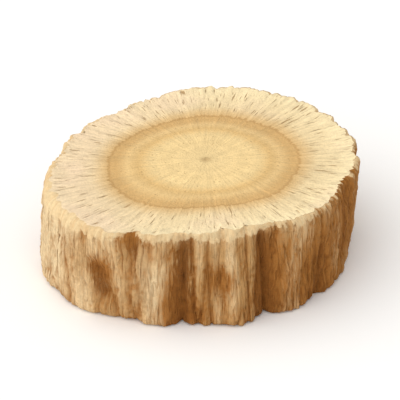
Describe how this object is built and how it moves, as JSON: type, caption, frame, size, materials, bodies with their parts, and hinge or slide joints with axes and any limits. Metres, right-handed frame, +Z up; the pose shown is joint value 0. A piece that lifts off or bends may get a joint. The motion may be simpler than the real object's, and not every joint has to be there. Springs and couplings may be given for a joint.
{
  "type": "dried astragalus root slice",
  "caption": "Roundish cut slice of dried astragalus root: flat cream cut faces with a darker growth ring, and a wrinkled brown bark wall.",
  "frame": {"origin": "middle of the slice's box, in the plane of the lower cut face it lies on", "axes": "+Z up, along the root's length and through the slice's thickness; +X to the right and -Y towards the viewer of the picture"},
  "size_m": [0.0126, 0.0126, 0.0041],
  "materials": {
    "cut_root": "dry fibrous cut root, matte, with brown bark on the wall"
  },
  "bodies": {
    "root": {"root_slice": "cut_root"}
  },
  "joints": []
}
